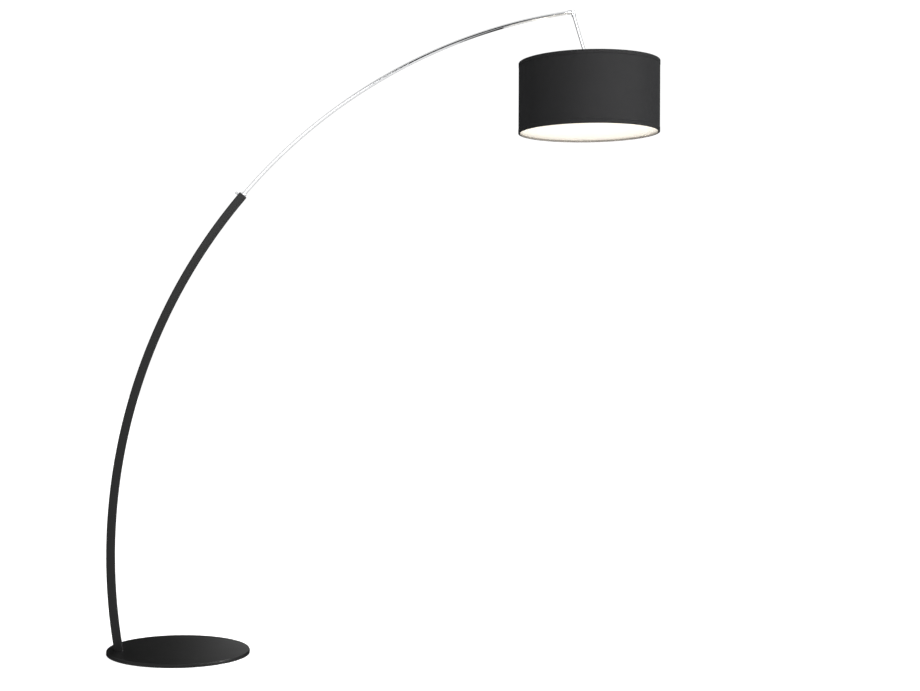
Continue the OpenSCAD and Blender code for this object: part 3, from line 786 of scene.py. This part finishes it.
bulb = {"threads": 5, "thread": 0.0011, "threadSteps": 6, "plain": 0.004, "lip": 0.0005,
        "crimp": 0.0017, "seat": 0.0007, "slope": radians(24), "bend": 0.008, "globeSteps": 24,
        "neckSteps": 8, "around": 72}


def makeGlobe():
    low = heights("bulb_glass")[0]
    radius = size("bulb_glass").x / 2
    capLow = heights("bulb_cap")[0]
    neck = size("bulb_cap").x / 2 - bulb["seat"]
    middle = low + radius
    slope, steps = bulb["slope"], bulb["globeSteps"]
    outline = [(0, low)]
    for k in range(1, steps + 1):
        angle = -pi / 2 + (pi / 2 + slope) * k / steps
        outline.append((radius * cos(angle), middle + radius * sin(angle)))
    shoulder, throat = Vector(outline[-1]), Vector((neck, capLow))
    near = shoulder + Vector((-sin(slope), cos(slope))) * bulb["bend"]
    far = throat - Vector((0, bulb["bend"]))
    for k in range(1, bulb["neckSteps"] + 1):  # an S curve from the globe into the neck
        t = k / bulb["neckSteps"]
        outline.append(tuple(shoulder * (1 - t) ** 3 + near * 3 * t * (1 - t) ** 2
                             + far * 3 * t * t * (1 - t) + throat * t ** 3))
    outline += [(neck, capLow + bulb["plain"]), (0, capLow + bulb["plain"])]
    addPiece("bulbGlass", turnedShape(outline, bulb["around"]), opal, "bulb_glass", shadePlace())


def makeBulbCap():
    low, high = heights("bulb_cap")
    radius = size("bulb_cap").x / 2
    lip, plain, crimp, steps = (bulb[key] for key in ("lip", "plain", "crimp", "threadSteps"))
    outline = [(radius - lip, low), (radius - lip / 5, low), (radius, low + lip * 1.2),
               (radius, low + plain)]
    pitch = (high - low - 2 * plain) / bulb["threads"]
    for k in range(bulb["threads"]):
        start = low + plain + k * pitch
        for j in range(1, steps + 1):
            wave = (1 - cos(2 * pi * j / steps)) / 2
            outline.append((radius - bulb["thread"] * wave, start + pitch * j / steps))
    outline += [(radius - lip * 0.4, high - plain / 2), (radius - crimp + lip, high),
                (radius - crimp, high - lip * 0.6), (radius - crimp, low + lip * 2)]
    addPiece("bulbCap", turnedShape(outline, bulb["around"], closed=True), capMetal, "bulb_cap",
             shadePlace())


makeGlobe()
makeBulbCap()
print("bulb made")

# ---- studio ----

studio = {"reach": 60.0, "dome": 22.0, "floorGlow": 0.62, "domeGlow": 1.05, "front": 0.95,
          "far": 0.58, "sideDim": 0.80}
cameraAt = {"place": (0.0426, -4.6539, 0.974), "turn": radians(5.937), "roll": radians(0.265),
            "lens": 57.79, "shift": (0.1228, -0.0033)}
lamps = {
    "key": {"place": (3.3, -4.35, 2.0), "aim": (1.3, 0, 1.75), "size": 0.9, "power": 25,
            "spread": 50},
    "front": {"place": (0.2, -6.0, 2.9), "aim": (0.2, 0, 1.3), "size": 2.0, "power": 60,
              "spread": 180},
    "side": {"place": (3.2, -1.2, 0.9), "aim": (0.1, 0, 0), "size": 0.5, "power": 12,
             "spread": 60},
}


# the dark screen is a wedge seen from the lamp: its apex, and the slopes between which it is dark
screen = {"tip": 0.165, "lean": 0.311, "start": (0.04, 0.20), "end": (0.45, 0.75)}


def makeStudio():
    shape = bmesh.new()
    bmesh.ops.create_grid(shape, x_segments=1, y_segments=1, size=studio["reach"])
    mesh = bpy.data.meshes.new("floor")
    shape.to_mesh(mesh)
    shape.free()
    floor = bpy.data.objects.new("floor", mesh)
    finish = newFinish("paleFloor")
    finish.set(Base_Color=finish.mix(finish.noise(finish.place(), 0.6, 2), grey(0.86), grey(0.90)),
               Roughness=0.85, Emission_Color=(1, 1, 1, 1), Emission_Strength=studio["floorGlow"])
    mesh.materials.append(finish.owner)
    shape = bmesh.new()
    bmesh.ops.create_uvsphere(shape, u_segments=64, v_segments=32, radius=studio["dome"])
    bmesh.ops.reverse_faces(shape, faces=shape.faces)
    mesh = bpy.data.meshes.new("backdrop")
    shape.to_mesh(mesh)
    shape.free()
    mesh.shade_smooth()
    dome = bpy.data.objects.new("backdrop", mesh)
    finish = newFinish("paleBackdrop")
    finish.set(Base_Color=(0, 0, 0, 1), Roughness=1.0, Specular_IOR_Level=0.0,
               Emission_Color=(1, 1, 1, 1), Emission_Strength=studio["domeGlow"])
    mesh.materials.append(finish.owner)
    for thing in (floor, dome):
        bpy.context.scene.collection.objects.link(thing)
        thing.visible_glossy = thing.visible_diffuse = thing.visible_transmission = False
    dome.visible_shadow = False
    for name, setup in lamps.items():
        light = bpy.data.lights.new(name, "AREA")
        light.size, light.energy = setup["size"], setup["power"]
        light.spread = radians(setup["spread"])
        stand = bpy.data.objects.new(name, light)
        way = Vector(setup["aim"]) - Vector(setup["place"])
        stand.matrix_world = (Matrix.Translation(setup["place"])
                              @ way.to_track_quat("-Z", "Y").to_matrix().to_4x4())
        bpy.context.scene.collection.objects.link(stand)
    glow = bpy.data.lights.new("bulbLight", "POINT")
    glow.energy, glow.color, glow.shadow_soft_size = lit["rimPower"], lit["edge"], lit["soft"]
    inside = bpy.data.objects.new("bulbLight", glow)
    inside.location = shadePivot + Vector((0, 0, heights("bulb_glass")[0] + lit["rise"]))
    bpy.context.scene.collection.objects.link(inside)
    bpy.data.objects["bulbGlass"].visible_shadow = False
    reached = bpy.data.collections.new("reachedByBulb")
    for name in ("topHem", "bottomHem", "topWires", "bottomWire", "holderCap", "holderBody",
                 "ringNuts"):
        reached.objects.link(bpy.data.objects[name])
    inside.light_linking.receiver_collection = reached


def makeWorld():
    # bright towards the front but for the screen, dimmer at the sides, dark behind but for a strip
    world = bpy.data.worlds.new("studio")
    bpy.context.scene.world = world
    finish = Finish(world)
    x, y, z = finish.axes(finish.place("Generated"))
    depth = y.size()
    rise = z + depth * screen["tip"]
    slope = (depth * screen["lean"] - x) / (rise.size().most(0.02) * (rise.above(0) * 2 - 1))
    dark = (slope.between(*screen["start"]) * (1 - slope.between(*screen["end"]))
            * depth.between(0.35, 0.55))
    low = 1 - z.size().between(0.25, 0.50)
    sides = x.size().between(0.40, 0.80) * low * y.between(-0.3, 0.2)
    behind = y.between(0.5, 0.8) * (1 - z.size().between(0.45, 0.75))
    level = studio["front"] * (1 - dark) * (1 - sides * studio["sideDim"])
    strip = x.between(0.02, 0.06) * (1 - x.between(0.15, 0.35))
    level = level * (1 - behind) + strip * studio["far"] * behind
    finish.set(Color=finish.node("ShaderNodeCombineColor", {}, {0: level, 1: level, 2: level}),
               Strength=1.0)


def makeCamera():
    lens = bpy.data.cameras.new("view")
    lens.lens, lens.sensor_width = cameraAt["lens"], 36
    lens.shift_x, lens.shift_y = cameraAt["shift"]
    lens.clip_end = 200
    camera = bpy.data.objects.new("view", lens)
    camera.location = cameraAt["place"]
    camera.rotation_euler = (pi / 2, -cameraAt["roll"], -cameraAt["turn"])
    bpy.context.scene.collection.objects.link(camera)
    bpy.context.scene.camera = camera


makeStudio()
makeWorld()
makeCamera()
bpy.context.scene.view_settings.view_transform = "Standard"
print("studio made")
